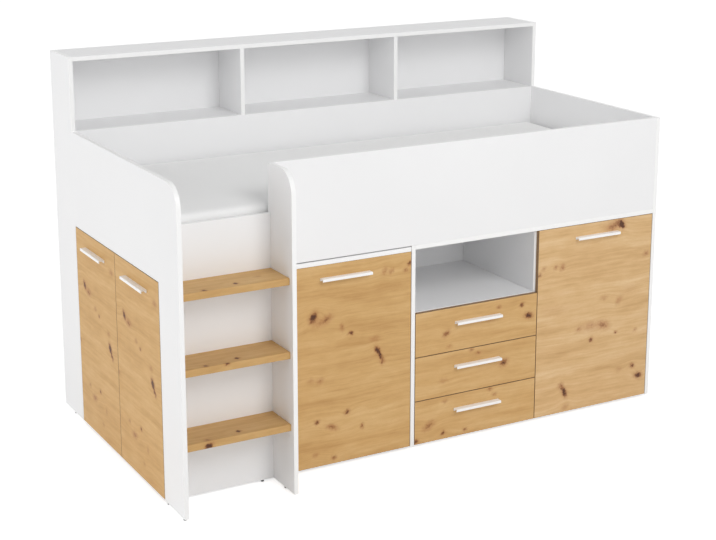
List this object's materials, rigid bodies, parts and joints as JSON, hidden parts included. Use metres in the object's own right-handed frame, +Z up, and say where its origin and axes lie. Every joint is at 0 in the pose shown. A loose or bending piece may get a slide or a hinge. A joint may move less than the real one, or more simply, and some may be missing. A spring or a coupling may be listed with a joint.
{
  "type": "bunk bed with desk",
  "caption": "Mid-sleeper bed with a ladder bay, roll-out desk, niche over drawers, cupboards with doors and a bookcase along the back, in white and oak boards.",
  "frame": {"origin": "on the floor, under the middle of the whole object's box", "axes": "+X along the bed, from the ladder end to the cupboard end; +Y from the drawer fronts towards the bookcase; +Z up"},
  "size_m": [2.072, 1.19, 1.395],
  "materials": {
    "white_board": "white melamine-faced chipboard, fine satin pearl, with edging of the same white",
    "oak_board": "knotty oak print on chipboard, warm honey brown, grain running across, satin",
    "handle_white": "white powder coat, semi-gloss",
    "hinge_steel": "nickel-plated pressed steel",
    "runner_steel": "white epoxy-coated folded steel",
    "slat_pine": "planed bare pine, with woven straps",
    "mattress_cover": "white knitted mattress cover, matt",
    "wheel_plastic": "dark grey moulded plastic"
  },
  "bodies": {
    "root": {"left_end_panel": "white_board", "right_end_panel": "white_board", "ladder_side_panel": "white_board", "ladder_back_panel": "white_board", "front_guard": "white_board", "bookcase_left_side": "white_board", "bookcase_right_side": "white_board", "bookcase_top": "white_board", "bookcase_shelf": "white_board", "bookcase_divider_left": "white_board", "bookcase_divider_right": "white_board", "bookcase_back": "white_board", "rear_guard": "white_board", "desk_bay_wall": "white_board", "left_cupboard_floor": "white_board", "left_cupboard_top": "white_board", "left_cupboard_rear_wall": "white_board", "desk_bay_divider": "white_board", "cabinet_base_board": "white_board", "cabinet_top_board": "white_board", "drawer_divider": "white_board", "niche_floor": "white_board", "cabinet_back_panel": "white_board", "tread_lower": "oak_board", "tread_middle": "oak_board", "tread_upper": "oak_board", "drawer_rack_left": "runner_steel", "drawer_rack_right": "runner_steel", "slat_rail_front": "slat_pine", "slat_rail_rear": "slat_pine", "slat_roll": "slat_pine", "mattress": "mattress_cover"},
    "left_front_door_leaf": {"left_front_door": "oak_board", "left_front_door_hinge_lower": "hinge_steel", "left_front_door_hinge_upper": "hinge_steel", "left_front_door_handle": "handle_white"},
    "left_rear_door_leaf": {"left_rear_door": "oak_board", "left_rear_door_hinge_lower": "hinge_steel", "left_rear_door_hinge_upper": "hinge_steel", "left_rear_door_handle": "handle_white"},
    "right_door_leaf": {"right_door": "oak_board", "right_door_hinge_lower": "hinge_steel", "right_door_hinge_upper": "hinge_steel", "right_door_handle": "handle_white"},
    "drawer_lower": {"drawer_front_lower": "oak_board", "drawer_box_lower": "white_board", "drawer_handle_lower": "handle_white"},
    "drawer_middle": {"drawer_front_middle": "oak_board", "drawer_box_middle": "white_board", "drawer_handle_middle": "handle_white"},
    "drawer_upper": {"drawer_front_upper": "oak_board", "drawer_box_upper": "white_board", "drawer_handle_upper": "handle_white"},
    "desk": {"desk_worktop": "white_board", "desk_front": "oak_board", "desk_rear_panel": "white_board", "desk_stretcher": "white_board", "desk_handle": "handle_white"},
    "desk_front_wheel_set": {"desk_front_wheels": "wheel_plastic"},
    "desk_rear_wheel_set": {"desk_rear_wheels": "wheel_plastic"}
  },
  "joints": [
    {"name": "left_front_door_swing", "type": "hinge", "parent": "root", "child": "left_front_door_leaf", "pos_m": [-1.014, -0.424, 0.39], "axis": [0, 0, 1], "range_deg": [0, 110]},
    {"name": "left_rear_door_swing", "type": "hinge", "parent": "root", "child": "left_rear_door_leaf", "pos_m": [-1.014, 0.383, 0.39], "axis": [0, 0, -1], "range_deg": [0, 110]},
    {"name": "right_door_swing", "type": "hinge", "parent": "root", "child": "right_door_leaf", "pos_m": [1.018, -0.435, 0.38], "axis": [0, 0, 1], "range_deg": [0, 110]},
    {"name": "drawer_lower_slide", "type": "slide", "parent": "root", "child": "drawer_lower", "axis": [0, -1, 0], "range_m": [0, 0.35]},
    {"name": "drawer_middle_slide", "type": "slide", "parent": "root", "child": "drawer_middle", "axis": [0, -1, 0], "range_m": [0, 0.35]},
    {"name": "drawer_upper_slide", "type": "slide", "parent": "root", "child": "drawer_upper", "axis": [0, -1, 0], "range_m": [0, 0.35]},
    {"name": "desk_roll", "type": "slide", "parent": "root", "child": "desk", "axis": [0, -1, 0], "range_m": [0, 0.7]},
    {"name": "desk_front_wheels_turn", "type": "hinge", "parent": "desk", "child": "desk_front_wheel_set", "pos_m": [-0.3315, -0.374, 0.025], "axis": [1, 0, 0], "range_deg": [0, 1605]},
    {"name": "desk_rear_wheels_turn", "type": "hinge", "parent": "desk", "child": "desk_rear_wheel_set", "pos_m": [-0.3315, 0.264, 0.025], "axis": [1, 0, 0], "range_deg": [0, 1605]}
  ],
  "couplings": [
    {"joint": "desk_front_wheels_turn", "follows": "desk_roll", "rad_per_m": 40},
    {"joint": "desk_rear_wheels_turn", "follows": "desk_roll", "rad_per_m": 40}
  ]
}
